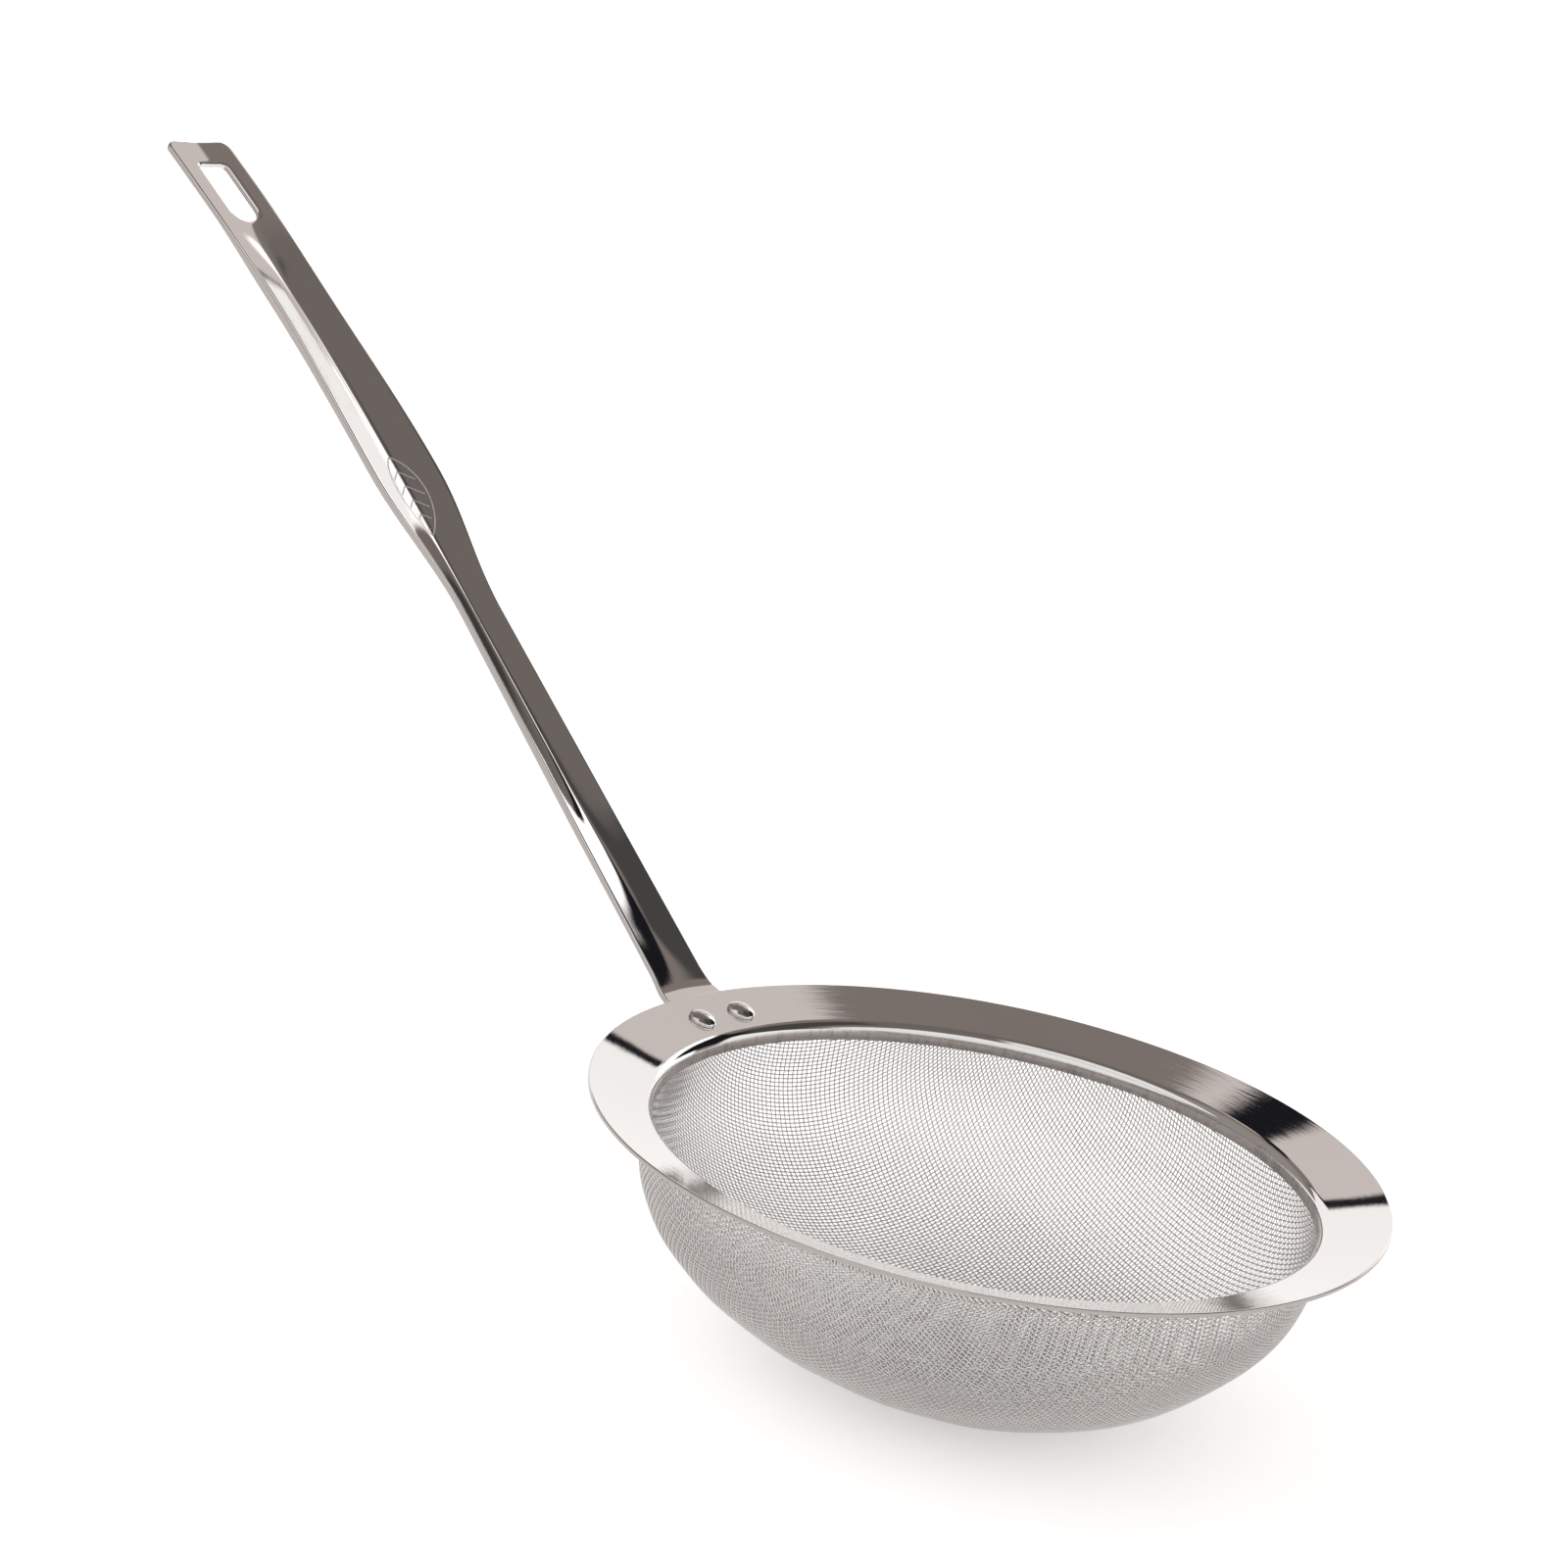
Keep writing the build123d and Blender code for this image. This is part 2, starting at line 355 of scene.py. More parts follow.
def wires_mesh(name, runs):
    """One mesh of all the wires of a group, each swept along its crimped centre line."""
    verts, faces, base = [], [], 0
    around = np.arange(WIRE_SIDES) * 2 * pi / WIRE_SIDES
    for pts, sign in runs:
        surface, normal = cloth_surface(pts)
        centre = surface + normal * (CRIMP * sign + ripple(pts))[:, None]
        tangent = np.gradient(centre, axis=0)
        tangent /= np.linalg.norm(tangent, axis=1, keepdims=True)
        up = normal - tangent * (normal * tangent).sum(1, keepdims=True)
        up /= np.linalg.norm(up, axis=1, keepdims=True)
        side = np.cross(tangent, up)
        ring = up[:, None] * np.cos(around)[:, None] + side[:, None] * np.sin(around)[:, None]
        verts.append((centre[:, None] + WIRE_R * ring).reshape(-1, 3))
        n = len(pts)
        start = base + np.arange(n - 1)[:, None] * WIRE_SIDES
        first = start + np.arange(WIRE_SIDES)
        nxt = start + (np.arange(WIRE_SIDES) + 1) % WIRE_SIDES
        quads = np.stack([first, nxt, nxt + WIRE_SIDES, first + WIRE_SIDES], -1).reshape(-1, 4)
        faces += quads.tolist()
        faces.append([base + k for k in range(WIRE_SIDES)][::-1])
        faces.append([base + (n - 1) * WIRE_SIDES + k for k in range(WIRE_SIDES)])
        base += n * WIRE_SIDES
    return new_object(name, np.concatenate(verts), faces)


def build_cloth():
    """All wires of both families, each family in CLOTH_PARTS pieces of about the same size."""
    limit_z = LIP_Z + CLOTH_FLARE * CLOTH_BEND
    net = weave_net(limit_z)
    pieces = []
    for family, title in ((0, "warp"), (1, "weft")):
        runs = wire_runs(net, family, limit_z)
        total = sum(len(r[0]) for r in runs)
        groups, count = [[]], 0
        for run in runs:
            if count > total / CLOTH_PARTS and len(groups) < CLOTH_PARTS:
                groups.append([])
                count = 0
            groups[-1].append(run)
            count += len(run[0])
        for k, group in enumerate(groups):
            pieces.append(wires_mesh(f"{title}_wires_{k + 1}", group))
    return pieces


# ---------------------------------------------------------------- handle

def flange_top(r):
    """Height of the flange's upper face at a distance r from the axis."""
    return RIM_TOP - (RIM_R - r) * tan(FLANGE_RISE)


def spine(rho):
    """Height and slope of the handle's shoulders at a distance rho from the rim's axis."""
    tab_z = flange_top(RIM_R) - SHEET / cos(FLANGE_RISE) - TAB_GAP
    half = BEND_R * tan((HANDLE_RISE - FLANGE_RISE) / 2)
    start = BEND_AT - half * cos(FLANGE_RISE)
    stop = BEND_AT + half * cos(HANDLE_RISE)
    bend_z = tab_z + (BEND_AT - RIM_R) * tan(FLANGE_RISE)
    if rho <= start:
        return tab_z + (rho - RIM_R) * tan(FLANGE_RISE), FLANGE_RISE
    if rho < stop:
        a = asin((rho - start) / BEND_R + sin(FLANGE_RISE))
        z = tab_z + (start - RIM_R) * tan(FLANGE_RISE)
        return z + BEND_R * (cos(FLANGE_RISE) - cos(a)), a
    if rho <= BOW_AT:
        return bend_z + (rho - BEND_AT) * tan(HANDLE_RISE), HANDLE_RISE
    a = asin(sin(HANDLE_RISE) - (rho - BOW_AT) / BOW_R)
    z = bend_z + (BOW_AT - BEND_AT) * tan(HANDLE_RISE)
    return z + BOW_R * (cos(a) - cos(HANDLE_RISE)), a


def ease(rho, keys):
    """Value at rho between (rho, value) keys, joined by half cosine waves."""
    for (a, u), (b, v) in zip(keys, keys[1:]):
        if rho <= b:
            k = max(0.0, (rho - a) / (b - a))
            return u + (v - u) * (1 - cos(pi * k)) / 2
    return keys[-1][1]


def width(rho):
    """Width of the strip, with its ends' corners rounded."""
    w = ease(rho, [(56.8, TAB_W), (60.2, THROAT_W), (ROOT_AT, ROOT_W), (WAIST_AT, WAIST_W),
                   (141.0, GRIP_W), (172.0, NECK_W), (194.0, TIP_W)])
    if ROOT_AT < rho < WAIST_AT:
        w = ROOT_W + (WAIST_W - ROOT_W) * (rho - ROOT_AT) / (WAIST_AT - ROOT_AT)
    for end in (TAB_IN, HANDLE_END):
        near = CORNER_R - abs(rho - end)
        if near > 0:
            w -= 2 * (CORNER_R - sqrt(CORNER_R ** 2 - near ** 2))
    return w


def trough(rho):
    """Depth of the crease below the shoulders."""
    return ease(rho, [(59.5, 0.0), (72.0, 0.6), (96.0, 0.85 * TROUGH), (140.0, 1.1 * TROUGH),
                      (172.0, 0.9 * TROUGH), (189.0, 0.3), (200.0, 0.2)])


def edge_depth(rho):
    """How far the strip's turned-down edges reach below the shoulders."""
    return ease(rho, [(66.0, 0.82), (92.0, 1.1), (144.0, 1.15), (172.0, 1.6), (190.0, 0.82)])


def slot_centre():
    """Distance of the hanging slot's middle from the rim's axis."""
    return HANDLE_END - (SLOT_FROM_TIP + SLOT_L / 2) * cos(spine(HANDLE_END)[1])


def slot_distance(x, w):
    """Distance outside the slot's outline; x runs along the strip towards the tip."""
    half = SLOT_W / 2
    if x < half - SLOT_L / 2:
        return sqrt((x - half + SLOT_L / 2) ** 2 + w * w) - half
    qx = x - (SLOT_L / 2 - SLOT_CORNER)
    qw = abs(w) - (half - SLOT_CORNER)
    return sqrt(max(qx, 0) ** 2 + max(qw, 0) ** 2) + min(max(qx, qw), 0) - SLOT_CORNER


def strip_loop(rho):
    """Section of the strip as (w, n) pairs: its top side, the right foot and its underside."""
    half, deep, v = width(rho) / 2, edge_depth(rho), trough(rho)
    crease = ease(rho, [(60.0, 5.0), (75.0, 2.0), (98.0, CREASE_R), (168.0, CREASE_R),
                        (188.0, 1.2)])
    r = SHOULDER_R
    web = half - r
    near = [SLOT_W / 2 * (k / NEAR_STEPS) ** 1.4 for k in range(NEAR_STEPS + 1)]
    right = near + [near[-1] + (web - near[-1]) * k / OUTER_STEPS
                    for k in range(1, OUTER_STEPS + 1)]
    span = sqrt(web ** 2 + crease ** 2) - crease

    def depth(w):
        return -v * (1 - (sqrt(w * w + crease ** 2) - crease) / span)

    web_pts = [(-w, depth(w)) for w in right[::-1]] + [(w, depth(w)) for w in right[1:]]
    turns = [pi / 2 * k / ARC_STEPS for k in range(1, ARC_STEPS + 1)]
    arc = [(web + r * sin(t), -r * (1 - cos(t))) for t in turns]
    side = [(half, -r - (deep - CUT_ROUND - r) * s) for s in SIDE_STOPS]
    right_end = arc + side
    top = [(-w, n) for w, n in right_end[::-1]] + web_pts + right_end
    inner = half - SHEET
    n_in = min(-deep + CUT_ROUND, -SHEET - 0.06)
    inner_side = [(inner + 0.02 * k, -SHEET - 0.03 + (n_in + SHEET + 0.03) * k / (END_POINTS - 1))
                  for k in range(END_POINTS)]
    scale = inner / web
    under_web = [(w * scale, n - SHEET) for w, n in web_pts]
    under = [(-w, n) for w, n in inner_side[::-1]] + under_web + inner_side
    foot = [(half - 0.04, -deep + 0.035), (half - CUT_ROUND, -deep), (half - SHEET + 0.26, -deep)]
    return top, foot, under


def place(rho, w, n):
    """Point w across and n above the shoulders, at a distance rho along the handle."""
    z, a = spine(rho)
    return (-rho + n * sin(a), w, z + n * cos(a))


def stations():
    """Distances at which the strip's section is set, closer at its ends, throat and slot."""
    out, rho = [], TAB_IN
    while rho < HANDLE_END - 1e-6:
        out.append(rho)
        step = STEP
        if rho > SLOT_FROM:
            step = SLOT_STEP
        if THROAT_FROM < rho < THROAT_TO:
            step = THROAT_STEP
        if rho < TAB_IN + CORNER_R or rho > HANDLE_END - CORNER_R:
            step = CORNER_STEP
        rho += step
    out.append(HANDLE_END)
    return out


def build_handle():
    """Pressed strip with a creased trough, turned-down edges and a slot with rolled sides."""
    rhos = stations()
    centre = slot_centre()
    lean = cos(spine(centre)[1])
    tops, feet_l, feet_r, unders = [], [], [], []
    for rho in rhos:
        top, foot, under = strip_loop(rho)
        tops.append(top)
        unders.append(under)
        feet_r.append(foot)
        feet_l.append([(-w, n) for w, n in foot])
    m, f = len(tops[0]), len(feet_r[0])
    web_a, web_b = END_POINTS, m - END_POINTS
    rows = len(rhos)
    open_cells = set()
    for i in range(rows - 1):
        if abs(rhos[i] - centre) > SLOT_L:
            continue
        for j in range(web_a, web_b - 1):
            x = ((rhos[i] + rhos[i + 1]) / 2 - centre) / lean
            w = (tops[i][j][0] + tops[i][j + 1][0]) / 2
            if slot_distance(x, w) < 0:
                open_cells.add((i, j))
    corner_of = {}
    for i, j in open_cells:
        for c in ((i, j), (i + 1, j), (i, j + 1), (i + 1, j + 1)):
            corner_of[c] = corner_of.get(c, 0) + 1
    rim_pts = {c for c, k in corner_of.items() if k < 4}
    ring = 2 * (m + f)
    verts = np.zeros((rows, ring, 3))
    for i in range(rows):
        loop = tops[i] + feet_r[i] + unders[i][::-1] + feet_l[i][::-1]
        for k, (w, n) in enumerate(loop):
            rho = rhos[i]
            j = k if k < m else 2 * m + f - 1 - k
            on_web = web_a <= j < web_b and (k < m or m + f <= k < 2 * m + f)
            if on_web and abs(rho - centre) < SLOT_L:
                x, w_top = (rho - centre) / lean, tops[i][j][0]
                if (i, j) in rim_pts:
                    for _ in range(4):
                        d = slot_distance(x, w_top)
                        e = 0.01
                        gx = (slot_distance(x + e, w_top) - slot_distance(x - e, w_top)) / (2 * e)
                        gw = (slot_distance(x, w_top + e) - slot_distance(x, w_top - e)) / (2 * e)
                        x, w_top = x - d * gx, w_top - d * gw
                    w, rho = w_top, centre + x * lean
                d = max(slot_distance(x, w_top), 0)
                n -= SLOT_ROLL * max(0, 1 - d / SLOT_ROLL_W) ** 2
            verts[i, k] = place(rho, w, n)
    faces = []
    for i in range(rows - 1):
        for k in range(ring):
            nk = (k + 1) % ring
            j = k if k < m else 2 * m + f - 2 - k
            if (k < m - 1 or m + f <= k < 2 * m + f - 1) and (i, j) in open_cells:
                continue
            faces.append((i * ring + k, i * ring + nk, (i + 1) * ring + nk, (i + 1) * ring + k))

    def top_id(i, j):
        return i * ring + j

    def under_id(i, j):
        return i * ring + 2 * m + f - 1 - j

    for i, j in open_cells:
        a, b, c, d = (i, j), (i, j + 1), (i + 1, j + 1), (i + 1, j)
        for (di, dj), (p, q) in (((-1, 0), (a, b)), ((1, 0), (c, d)),
                                 ((0, -1), (d, a)), ((0, 1), (b, c))):
            if (i + di, j + dj) not in open_cells:
                faces.append((top_id(*p), top_id(*q), under_id(*q), under_id(*p)))
    for i, flip in ((0, False), (rows - 1, True)):
        for j in range(m - 1):
            quad = (top_id(i, j), under_id(i, j), under_id(i, j + 1), top_id(i, j + 1))
            faces.append(quad[::-1] if flip else quad)
        for feet in (range(m - 1, m + f), range(2 * m + f - 1, 2 * m + 2 * f)):
            ids = [i * ring + k % ring for k in feet] + [i * ring + (feet[-1] + 1) % ring]
            faces.append(ids[::-1] if not flip else ids)
    obj = new_object("handle", verts.reshape(-1, 3), faces)
    drop_loose(obj)
    return obj


def drop_loose(obj):
    """Removes the points left inside the slot and turns all faces outward."""
    bm = bmesh.new()
    bm.from_mesh(obj.data)
    bmesh.ops.delete(bm, geom=[v for v in bm.verts if not v.link_faces], context="VERTS")
    bmesh.ops.recalc_face_normals(bm, faces=bm.faces)
    bm.to_mesh(obj.data)
    bm.free()


# ---------------------------------------------------------------- rivets

def build_rivet(name, side):
    """Rivet through flange and tab: upset tail, shank and domed head, from below upwards."""
    grip = SHEET + SHEET + GRIP_PLAY
    rise = HEAD_H - HEAD_EDGE
    dome = (HEAD_R ** 2 + rise ** 2) / (2 * rise)
    reach = asin(HEAD_R / dome)
    outline = [(0.0, -grip - TAIL_H), (TAIL_R - 0.3, -grip - TAIL_H),
               (TAIL_R - 0.08, -grip - TAIL_H + 0.12), (TAIL_R, -grip - 0.3), (TAIL_R, -grip),
               (SHANK_R + 0.02, -grip), (SHANK_R, -grip + 0.05), (SHANK_R, 0.0),
               (HEAD_R - 0.12, 0.02), (HEAD_R - 0.03, 0.06), (HEAD_R, 0.14),
               (HEAD_R, HEAD_EDGE - 0.12), (HEAD_R - 0.03, HEAD_EDGE - 0.02),
               (HEAD_R - 0.09, HEAD_EDGE + 0.05)]
    for k in range(CROWN_STEPS):
        t = reach * (CROWN_FROM - CROWN_FROM * k / CROWN_STEPS)
        outline.append((dome * sin(t), HEAD_H - dome * (1 - cos(t))))
    outline.append((0.0, HEAD_H))
    turn = side * asin(RIVET_PITCH / 2 / RIVET_R)
    x, y = -cos(turn), sin(turn)
    normal = Vector((-x * sin(FLANGE_RISE), -y * sin(FLANGE_RISE), cos(FLANGE_RISE)))
    across_dir = Vector((-y, x, 0))
    third = normal.cross(across_dir)
    at = Vector((x * RIVET_R, y * RIVET_R, flange_top(RIVET_R)))
    verts, faces = [at + normal * outline[0][1]], []
    for s in range(RIVET_SEGMENTS):
        a = 2 * pi * s / RIVET_SEGMENTS
        for r, z in outline[1:-1]:
            verts.append(at + (across_dir * cos(a) + third * sin(a)) * r + normal * z)
    verts.append(at + normal * outline[-1][1])
    m = len(outline) - 2
    for s in range(RIVET_SEGMENTS):
        t = (s + 1) % RIVET_SEGMENTS
        faces.append((0, 1 + t * m, 1 + s * m))
        for k in range(m - 1):
            faces.append((1 + s * m + k, 1 + t * m + k, 1 + t * m + k + 1, 1 + s * m + k + 1))
        faces.append((1 + s * m + m - 1, 1 + t * m + m - 1, len(verts) - 1))
    return new_object(name, [tuple(v) for v in verts], faces)


# ---------------------------------------------------------------- shader helpers

class Nodes:
    """Small wrapper that makes nodes and links them in one call."""

    def __init__(self, tree):
        self.tree = tree
        tree.nodes.clear()

    def add(self, kind, **settings):
        node = self.tree.nodes.new(kind)
        for key, value in settings.items():
            setattr(node, key, value)
        return node

    def plug(self, socket, value):
        if isinstance(value, bpy.types.NodeSocket):
            self.tree.links.new(value, socket)
        else:
            socket.default_value = value

    def math(self, op, a, b=None):
        node = self.add("ShaderNodeMath", operation=op)
        self.plug(node.inputs[0], a)
        if b is not None:
            self.plug(node.inputs[1], b)
        return node.outputs[0]

    def vmath(self, op, vector, scale=None):
        node = self.add("ShaderNodeVectorMath", operation=op)
        self.plug(node.inputs[0], vector)
        if scale is not None:
            self.plug(node.inputs["Scale"], scale)
        return node.outputs["Value" if op == "LENGTH" else "Vector"]

    def ramp(self, value, lo, hi, out_lo=0.0, out_hi=1.0):
        """Smooth step from out_lo at lo to out_hi at hi; lo may be the larger one."""
        node = self.add("ShaderNodeMapRange", interpolation_type="SMOOTHSTEP")
        self.plug(node.inputs["Value"], value)
        node.inputs["From Min"].default_value = lo
        node.inputs["From Max"].default_value = hi
        node.inputs["To Min"].default_value = out_lo
        node.inputs["To Max"].default_value = out_hi
        return node.outputs["Result"]

    def band(self, value, lo, hi, soft_out, soft_in):
        """One between lo and hi, with soft ends."""
        return self.math("MULTIPLY", self.ramp(value, lo - soft_out, lo + soft_in),
                         self.ramp(value, hi + soft_out, hi - soft_in))

    def noise(self, vector, scale, detail=2.0, rough=0.5):
        node = self.add("ShaderNodeTexNoise")
        self.plug(node.inputs["Vector"], vector)
        node.inputs["Scale"].default_value = scale
        node.inputs["Detail"].default_value = detail
        node.inputs["Roughness"].default_value = rough
        return node.outputs["Fac"]

    def mix(self, factor, a, b):
        node = self.add("ShaderNodeMix", data_type="RGBA")
        self.plug(node.inputs[0], factor)
        self.plug(node.inputs[6], a)
        self.plug(node.inputs[7], b)
        return node.outputs[2]

    def blend(self, factor, a, b):
        """Mix of two plain values."""
        node = self.add("ShaderNodeMix", data_type="FLOAT")
        self.plug(node.inputs[0], factor)
        self.plug(node.inputs[2], a)
        self.plug(node.inputs[3], b)
        return node.outputs[0]

    def share(self, x, y, direction):
        """How far (x, y) reaches in a direction."""
        return self.math("ADD", self.math("MULTIPLY", x, direction[0]),
                         self.math("MULTIPLY", y, direction[1]))

    def combine(self, x, y, z):
        node = self.add("ShaderNodeCombineXYZ")
        for socket, value in zip(node.inputs, (x, y, z)):
            self.plug(socket, value)
        return node.outputs[0]

    def stretched(self, parts, factors):
        """Vector of the parts, each multiplied by its own factor."""
        return self.combine(*(self.math("MULTIPLY", p, k) for p, k in zip(parts, factors)))

    def split(self, vector):
        node = self.add("ShaderNodeSeparateXYZ")
        self.plug(node.inputs[0], vector)
        return node.outputs

    def place_mm(self):
        """Object-space position in millimetres."""
        coord = self.add("ShaderNodeTexCoord")
        return self.vmath("SCALE", coord.outputs["Object"], 1000.0)

    def bump(self, height, distance, normal=None):
        """Relief of a height field; distance is in millimetres."""
        node = self.add("ShaderNodeBump")
        node.inputs["Strength"].default_value = 1.0
        node.inputs["Distance"].default_value = distance * MM
        self.plug(node.inputs["Height"], height)
        if normal is not None:
            self.plug(node.inputs["Normal"], normal)
        return node.outputs["Normal"]


def metal(name, build):
    """Metal whose colour, roughness and normal come from the given function."""
    mat = bpy.data.materials.new(name)
    mat.use_nodes = True
    n = Nodes(mat.node_tree)
    shader = n.add("ShaderNodeBsdfPrincipled")
    shader.inputs["Metallic"].default_value = 1.0
    out = n.add("ShaderNodeOutputMaterial")
    n.plug(out.inputs["Surface"], shader.outputs["BSDF"])
    colour, rough, normal = build(n)
    n.plug(shader.inputs["Base Color"], colour)
    n.plug(shader.inputs["Roughness"], rough)
    n.plug(shader.inputs["Normal"], normal)
    return mat


STEEL = (0.75, 0.735, 0.725, 1)
STEEL_DULL = (0.70, 0.68, 0.67, 1)
CUT_EDGE = (0.43, 0.40, 0.385, 1)
COLLAR_STEEL = (0.40, 0.37, 0.355, 1)
STAIN = (0.24, 0.215, 0.20, 1)
ETCHED = (0.78, 0.76, 0.75, 1)
WIRE_BRIGHT = (0.70, 0.69, 0.682, 1)
WIRE_DULL = (0.55, 0.54, 0.532, 1)
FLOOR_DARKER = (0.93, 0.92, 0.915, 1)
FLOOR_PALER = (0.95, 0.945, 0.94, 1)
FLOOR_IN_METAL = (0.84, 0.82, 0.805, 1)
CUT_ROUGH = 0.3
ETCHED_ROUGH = 0.55


def face_normal(n):
    """Parts of the true surface normal, so that a narrow cut edge keeps a crisp outline."""
    return n.split(n.add("ShaderNodeNewGeometry").outputs["True Normal"])


def rim_finish(n):
    """Polished flange with circular polishing lines; the collar is brushed and blotchy."""
    p = n.place_mm()
    x, y, z = n.split(p)
    flat = n.combine(x, y, 0.0)
    radius = n.vmath("LENGTH", flat)
    tx, ty, _ = n.split(n.vmath("NORMALIZE", flat))
    lines = n.noise(n.stretched((tx, ty, radius), (7.0, 7.0, 1.4)), 1.0, 3.0, 0.6)
    hair = n.noise(n.stretched((tx, ty, radius), (30.0, 30.0, 14.0)), 1.0, 2.0, 0.6)
    broad = n.noise(p, 0.05, 2.0)
    blots = n.noise(n.stretched((tx, ty, z), (34.0, 34.0, 0.3)), 1.0, 4.0, 0.65)
    brush = n.noise(n.stretched((tx, ty, z), (60.0, 60.0, 9.0)), 1.0, 3.0, 0.7)
    collar = n.math("MULTIPLY", n.ramp(radius, 50.0, 49.75), n.ramp(z, -0.25, -0.75))
    stain = n.math("MULTIPLY", n.ramp(blots, 0.5, 0.62), collar)
    colour = n.mix(n.math("MULTIPLY", collar, 0.95), STEEL, COLLAR_STEEL)
    colour = n.mix(n.math("MULTIPLY", stain, 0.5), colour, STAIN)
    upright = n.ramp(n.math("ABSOLUTE", face_normal(n)[2]), 0.75, 0.5)
    cut = n.math("MULTIPLY", n.ramp(radius, 59.7, 59.9), upright)
    colour = n.mix(cut, colour, CUT_EDGE)
    polished = n.ramp(hair, 0.3, 0.8, 0.02, 0.05)
    worn = n.ramp(brush, 0.3, 0.7, 0.26, 0.42)
    rough = n.blend(cut, n.blend(collar, polished, worn), CUT_ROUGH)
    bump = n.bump(lines, 0.0085)
    bump = n.bump(hair, 0.0012, bump)
    bump = n.bump(broad, 0.05, bump)
    bump = n.bump(n.math("MULTIPLY", brush, collar), 0.01, bump)
    return colour, rough, bump


def strip_coordinates(n):
    """Distance from the rim's axis, distance off the handle's centre line, and height."""
    x, y, z = n.split(n.place_mm())
    return n.math("MULTIPLY", x, -1.0), y, z


def leaf_mark(n, rho, w):
    """Fine etched outline of a plain leaf with a midrib and side veins."""
    middle, length, half, vein_pitch = 139.0, 6.4, 3.1, 2.3
    bow = (length ** 2 + half ** 2) / (2 * half)
    u = n.math("SUBTRACT", rho, middle)
    shapes = []
    for side in (1, -1):
        dw = n.math("SUBTRACT", w, side * (half - bow))
        reach = n.math("SQRT", n.math("ADD", n.math("MULTIPLY", u, u), n.math("MULTIPLY", dw, dw)))
        shapes.append(n.math("SUBTRACT", reach, bow))
    inside = n.math("MAXIMUM", shapes[0], shapes[1])
    outline = n.ramp(n.math("ABSOLUTE", inside), 0.15, 0.09)
    body = n.ramp(inside, -0.05, -0.15)
    off = n.math("ABSOLUTE", w)
    rib = n.math("MULTIPLY", n.ramp(off, 0.17, 0.09), body)
    veins = n.math("ADD", u, n.math("MULTIPLY", off, 0.9))
    phase = n.math("FRACT", n.math("DIVIDE", n.math("ADD", veins, 50.0), vein_pitch))
    wave = n.math("ABSOLUTE", n.math("SUBTRACT", phase, 0.5))
    vein = n.math("MULTIPLY", n.ramp(wave, 0.07, 0.035), n.ramp(inside, -0.45, -0.6))
    return n.math("MAXIMUM", outline, n.math("MAXIMUM", rib, vein))


def handle_finish(n):
    """Mirror polish with fine lengthwise lines, faint broad waves and an etched leaf."""
    rho, w, z = strip_coordinates(n)
    lines = n.noise(n.stretched((rho, w, z), (0.12, 3.0, 0.12)), 1.0, 3.0, 0.6)
    hair = n.noise(n.stretched((rho, w, z), (0.5, 14.0, 0.5)), 1.0, 2.0, 0.6)
    broad = n.noise(n.place_mm(), 0.07, 2.0)
    mark = n.math("MULTIPLY", leaf_mark(n, rho, w), n.ramp(z, 20.0, 21.0))
    up = n.split(n.add("ShaderNodeNewGeometry").outputs["Normal"])[2]
    mark = n.math("MULTIPLY", mark, n.ramp(up, 0.3, 0.4))
    bump = n.bump(lines, 0.003)
    bump = n.bump(hair, 0.0008, bump)
    bump = n.bump(broad, 0.05, bump)
    bump = n.bump(mark, -0.01, bump)
    colour = n.mix(mark, STEEL, ETCHED)
    cut = n.ramp(n.math("ABSOLUTE", face_normal(n)[1]), 0.72, 0.85)
    colour = n.mix(cut, colour, CUT_EDGE)
    rough = n.blend(mark, n.ramp(hair, 0.3, 0.8, 0.02, 0.05), ETCHED_ROUGH)
    return colour, n.blend(cut, rough, CUT_ROUGH), bump


def rivet_finish(n):
    """Slightly uneven heads, a little duller than the sheet."""
    p = n.place_mm()
    marks = n.noise(p, 1.6, 4.0, 0.6)
    fine = n.noise(p, 9.0, 2.0, 0.6)
    bump = n.bump(marks, 0.02)
    bump = n.bump(fine, 0.003, bump)
    colour = n.mix(n.ramp(marks, 0.4, 0.7), STEEL, STEEL_DULL)
    return colour, n.ramp(fine, 0.3, 0.8, 0.06, 0.14), bump


def wire_finish(n):
    """Drawn wire, in patches of two greys."""
    p = n.place_mm()
    drawn = n.noise(p, 3.0, 3.0, 0.6)
    fine = n.noise(p, 16.0, 2.0, 0.6)
    bump = n.bump(fine, 0.006)
    colour = n.mix(n.ramp(drawn, 0.35, 0.7), WIRE_BRIGHT, WIRE_DULL)
    return colour, n.ramp(fine, 0.3, 0.8, 0.16, 0.28), bump


# ---------------------------------------------------------------- light

WHITE = (1.13, 1.105, 1.09, 1)
STRIP_LIGHT = (1.6, 1.58, 1.55, 1)
KEY_LIGHT = (1.0, 0.995, 0.99, 1)
DOME_LOW = (2.6, 2.585, 2.58, 1)
DOME_TOP = (0.9, 0.88, 0.875, 1)
KEY_ALONG = (0.574, -0.819)
KEY_ACROSS = (0.819, 0.574)
KEY_EDGE = 0.08
DOME_LEFT = (-0.743, -0.669)
DOME_LEAN = 0.28
PINKISH = (0.72, 0.655, 0.625, 1)
BROWN = (0.25, 0.215, 0.197, 1)
DARK_BROWN = (0.19, 0.165, 0.152, 1)
DEEP = (0.075, 0.072, 0.068, 1)
ROOM = (0.34, 0.31, 0.29, 1)
BLACK = (0.012, 0.012, 0.016, 1)

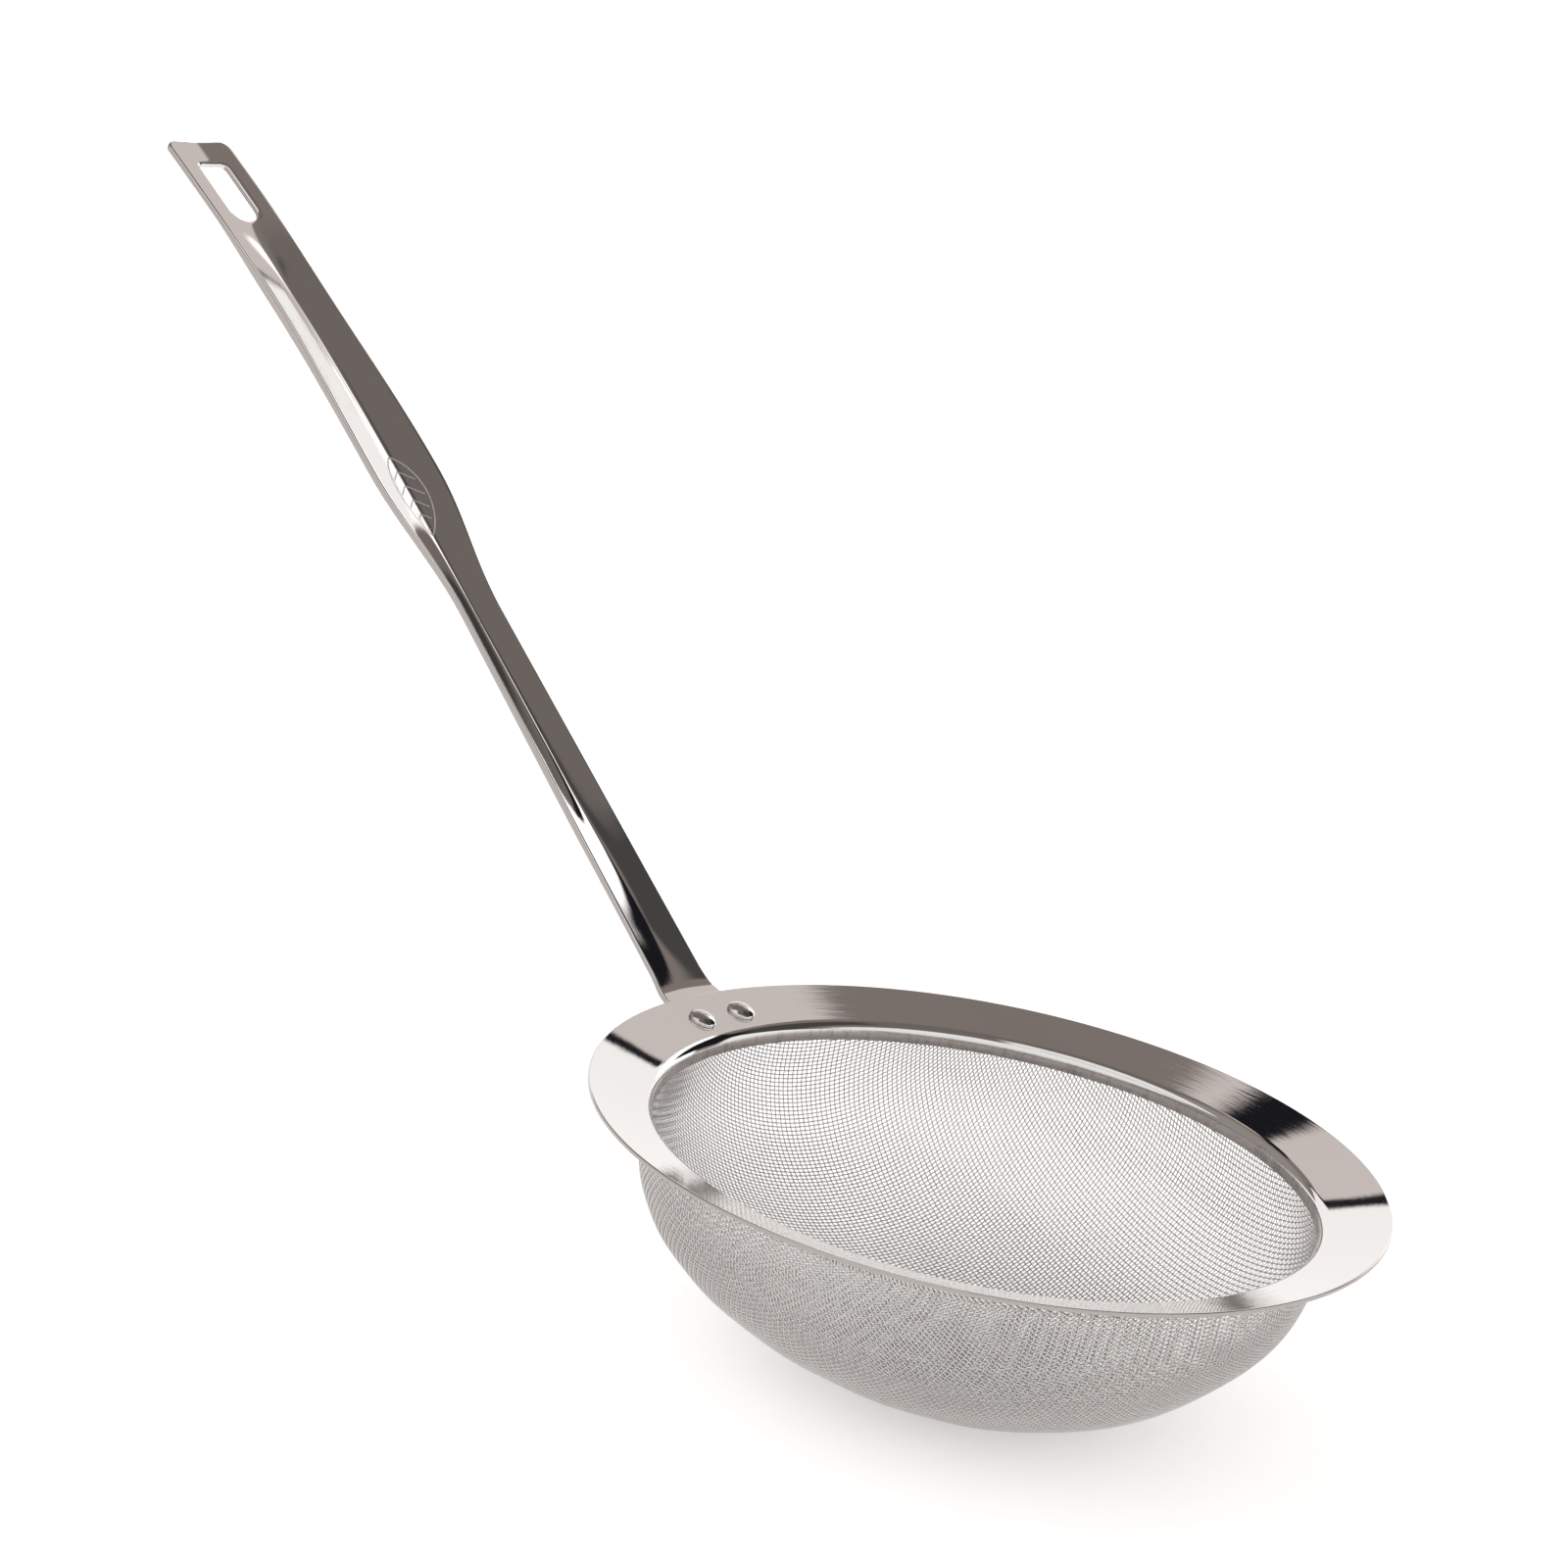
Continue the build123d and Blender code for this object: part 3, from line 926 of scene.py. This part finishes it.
# colour, azimuth from and to, elevation from and to, softness of level and of upright edges, in
# degrees; azimuth is 0 along +Y and grows towards +X
PANELS = (
    # brown-grey room with one dark corner
    (ROOM, 105, 181, -1, 60, 4, 6),
    (ROOM, -181, -80, -1, 60, 4, 6),
    (DEEP, 12, 62, 30, 67, 3, 4),
    # pinkish sweep with a black flag along its top
    (PINKISH, -60, -8, 24, 46, 1.0, 1.5),
    (BLACK, -70, -38, 37, 43, 0.8, 1.5),
    # white sheet and black flag on the handle's side
    (STRIP_LIGHT, -14, 16, 0, 38, 1.0, 1.5),
    (BLACK, 0, 30, 16, 40, 1.0, 1.5),
    # white sheets on the horizon, the left one with a black top edge
    (BLACK, -70, -22, 18, 25, 0.5, 1.0),
    (WHITE, -70, -14, -1, 23, 0.5, 1.0),
    (WHITE, 30, 95, -1, 30, 1.5, 3),
)
# overhead light: tangents of the angle from straight up, from and to along it, from and to across
KEY_BOXES = ((-0.10, 0.42, -1.3, 0.05), (0.38, 2.2, -1.5, 1.5))


def studio():
    """Mirror rays see a white horizon, large pale sheets and black flags in a brown-grey room, and
    a light overhead. Matt surfaces are lit by a plain dome, brighter on the picture's left, and the
    camera sees plain white."""
    world = bpy.data.worlds.new("studio")
    bpy.context.scene.world = world
    world.use_nodes = True
    n = Nodes(world.node_tree)
    coord = n.add("ShaderNodeTexCoord")
    x, y, z = n.split(coord.outputs["Generated"])
    az = n.math("MULTIPLY", n.math("ARCTAN2", x, y), 180 / pi)
    el = n.math("MULTIPLY", n.math("ARCSINE", z), 180 / pi)

    sky = n.mix(n.ramp(el, 50.0, 62.0), BROWN, DARK_BROWN)
    for colour, az0, az1, el0, el1, soft, soft_az in PANELS:
        level, aside = n.band(el, el0, el1, soft, soft), n.band(az, az0, az1, soft_az, soft_az)
        sky = n.mix(n.math("MULTIPLY", level, aside), sky, colour)
    sky = n.mix(n.ramp(el, 10.0, 7.0), sky, WHITE)
    tx, ty = n.math("DIVIDE", x, z), n.math("DIVIDE", y, z)
    along, across = n.share(tx, ty, KEY_ALONG), n.share(tx, ty, KEY_ACROSS)
    narrow, wide = [n.math("MULTIPLY", n.band(along, a0, a1, 0, KEY_EDGE),
                           n.band(across, b0, b1, 0, KEY_EDGE)) for a0, a1, b0, b1 in KEY_BOXES]
    above = n.ramp(z, 0.1, 0.2)
    sky = n.mix(n.math("MULTIPLY", n.math("MAXIMUM", narrow, wide), above), sky, KEY_LIGHT)
    rays = n.add("ShaderNodeLightPath")
    dome = n.mix(n.ramp(z, 0.0, 1.0), DOME_LOW, DOME_TOP)
    left = n.share(x, y, DOME_LEFT)
    dome = n.vmath("SCALE", dome, n.ramp(left, -1.0, 1.0, 1 - DOME_LEAN, 1 + DOME_LEAN))
    sky = n.mix(rays.outputs["Is Diffuse Ray"], sky, dome)
    sky = n.mix(rays.outputs["Is Camera Ray"], sky, WHITE)
    background = n.add("ShaderNodeBackground")
    n.plug(background.inputs["Color"], sky)
    out = n.add("ShaderNodeOutputWorld")
    n.plug(out.inputs["Surface"], background.outputs[0])
    world.cycles.sampling_method = "NONE"


def floor(z):
    """Plain pale floor at height z."""
    far = FLOOR_HALF
    verts = [(-far, -far, z), (far, -far, z), (far, far, z), (-far, far, z)]
    obj = new_object("floor", verts, [(0, 1, 2, 3)], smooth=False)
    mat = bpy.data.materials.new("pale_floor")
    mat.use_nodes = True
    n = Nodes(mat.node_tree)
    shader = n.add("ShaderNodeBsdfDiffuse")
    grain = n.noise(n.place_mm(), 0.4, 3.0)
    rays = n.add("ShaderNodeLightPath")
    pale = n.mix(grain, FLOOR_DARKER, FLOOR_PALER)
    n.plug(shader.inputs["Color"], n.mix(rays.outputs["Is Glossy Ray"], pale, FLOOR_IN_METAL))
    out = n.add("ShaderNodeOutputMaterial")
    n.plug(out.inputs["Surface"], shader.outputs[0])
    obj.data.materials.append(mat)


def camera():
    """Camera at the photograph's place: the handle runs away to the left."""
    right, forward = Vector(CAMERA_RIGHT), Vector(CAMERA_FORWARD)
    up = right.cross(forward)
    data = bpy.data.cameras.new("camera")
    data.sensor_fit = "HORIZONTAL"
    data.sensor_width = SENSOR
    data.lens = LENS
    data.clip_start = 0.01
    data.clip_end = 200.0
    obj = bpy.data.objects.new("camera", data)
    bpy.context.scene.collection.objects.link(obj)
    turn = Matrix((right, up, -forward)).transposed()
    obj.matrix_world = Matrix.Translation(Vector(CAMERA_AT) * MM) @ turn.to_4x4()
    bpy.context.scene.camera = obj


# ---------------------------------------------------------------- assembly

camera()
rim = build_rim()
cloth = build_cloth()
handle = build_handle()
rivet_pieces = [build_rivet("rivet_left", -1), build_rivet("rivet_right", 1)]

looks = {
    "rim_flange": ([rim], metal("polished_rim", rim_finish), "polished_rim"),
    "mesh_bowl": (cloth, metal("wire_cloth", wire_finish), "wire_cloth"),
    "handle": ([handle], metal("polished_handle", handle_finish), "polished_handle"),
    "rivets": (rivet_pieces, metal("rivet_steel", rivet_finish), "rivet_steel"),
}
for node, (pieces, material, slot) in looks.items():
    for piece in pieces:
        piece.data.materials.append(material)
        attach(piece, "root")
        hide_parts(node)

lowest = min(min((v.co.z for v in piece.data.vertices)) for piece in cloth)
floor(lowest / MM - FLOOR_GAP)
studio()

scene = bpy.context.scene
scene.view_settings.view_transform = "Standard"
scene.view_settings.look = "None"
